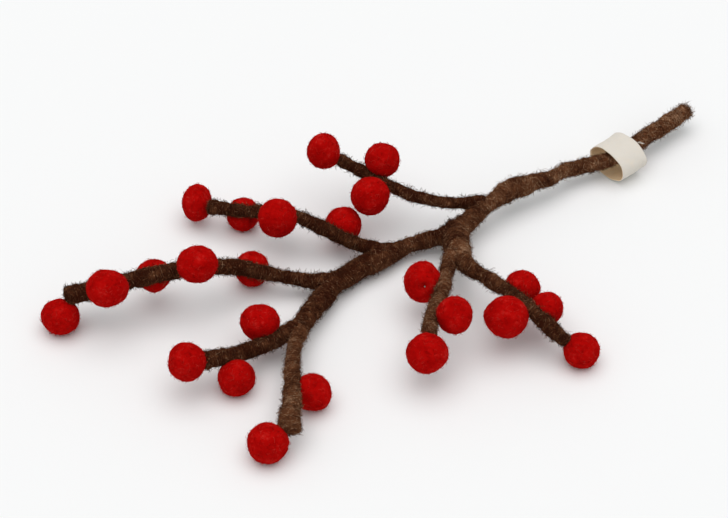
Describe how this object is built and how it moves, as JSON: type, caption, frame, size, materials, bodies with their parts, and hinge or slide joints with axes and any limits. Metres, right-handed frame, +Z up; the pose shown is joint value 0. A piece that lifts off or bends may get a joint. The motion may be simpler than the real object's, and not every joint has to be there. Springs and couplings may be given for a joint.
{
  "type": "felt winterberry branch",
  "caption": "Craft branch of wool wound on wire with red felt balls as berries and a loop of tape round the stem, lying down.",
  "frame": {"origin": "on the surface that the branch lies on, under the middle of its bounding box", "axes": "+X along the branch towards the stem's cut end, +Y across it, +Z up"},
  "size_m": [0.3734, 0.2223, 0.0478],
  "materials": {
    "red_felt": "felted wool",
    "brown_wool": "wound and felted wool",
    "steel_wire": "drawn wire",
    "cotton_tape": "woven tape"
  },
  "bodies": {
    "root": {"stem_wool": "brown_wool", "upper_twig_wool": "brown_wool", "left_twig_wool": "brown_wool", "long_twig_wool": "brown_wool", "fork_left_twig_wool": "brown_wool", "fork_near_twig_wool": "brown_wool", "right_twig_wool": "brown_wool", "inner_twig_wool": "brown_wool", "stem_wire": "steel_wire", "upper_twig_wire": "steel_wire", "left_twig_wire": "steel_wire", "long_twig_wire": "steel_wire", "fork_left_twig_wire": "steel_wire", "fork_near_twig_wire": "steel_wire", "right_twig_wire": "steel_wire", "inner_twig_wire": "steel_wire", "upper_berry_1": "red_felt", "upper_berry_2": "red_felt", "upper_berry_3": "red_felt", "left_berry_1": "red_felt", "left_berry_2": "red_felt", "left_berry_3": "red_felt", "left_berry_4": "red_felt", "long_berry_1": "red_felt", "long_berry_2": "red_felt", "long_berry_3": "red_felt", "long_berry_4": "red_felt", "long_berry_5": "red_felt", "fork_left_berry_1": "red_felt", "fork_left_berry_2": "red_felt", "fork_left_berry_3": "red_felt", "fork_near_berry_1": "red_felt", "fork_near_berry_2": "red_felt", "inner_berry_1": "red_felt", "inner_berry_2": "red_felt", "inner_berry_3": "red_felt", "right_berry_1": "red_felt", "right_berry_2": "red_felt", "right_berry_3": "red_felt", "right_berry_4": "red_felt", "label_loop": "cotton_tape"}
  },
  "joints": []
}
